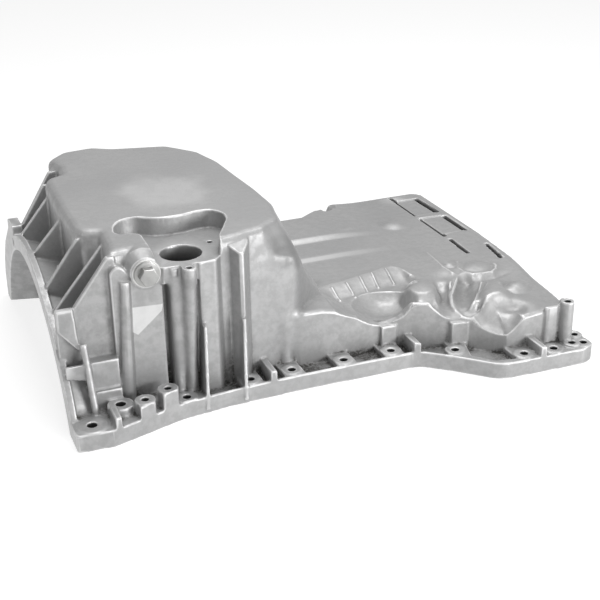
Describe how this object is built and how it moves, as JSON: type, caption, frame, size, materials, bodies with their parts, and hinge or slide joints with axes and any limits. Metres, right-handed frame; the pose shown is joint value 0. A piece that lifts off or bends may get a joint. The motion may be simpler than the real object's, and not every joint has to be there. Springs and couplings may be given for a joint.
{
  "type": "engine oil pan",
  "caption": "Cast aluminium engine oil pan lying on its gasket rail, with a deep ribbed sump, a shallow sculpted end and a half-round bell-housing skirt.",
  "frame": {"origin": "centre of the gasket face's bounding box, on the gasket face", "axes": "+X along the crankshaft from the bell-housing end to the shallow end, +Y across the engine to the far rail, +Z away from the gasket face towards the sump floor"},
  "size_m": [0.505, 0.4318, 0.1663],
  "materials": {
    "cast_aluminium": "bare sand-cast aluminium, satin, with machined faces and a little grime",
    "plug_steel": "zinc-plated steel, satin",
    "washer_metal": "soft sealing washer, dull"
  },
  "bodies": {
    "root": {"pan_casting": "cast_aluminium", "drain_plug": "plug_steel", "drain_plug_washer": "washer_metal"}
  },
  "joints": []
}
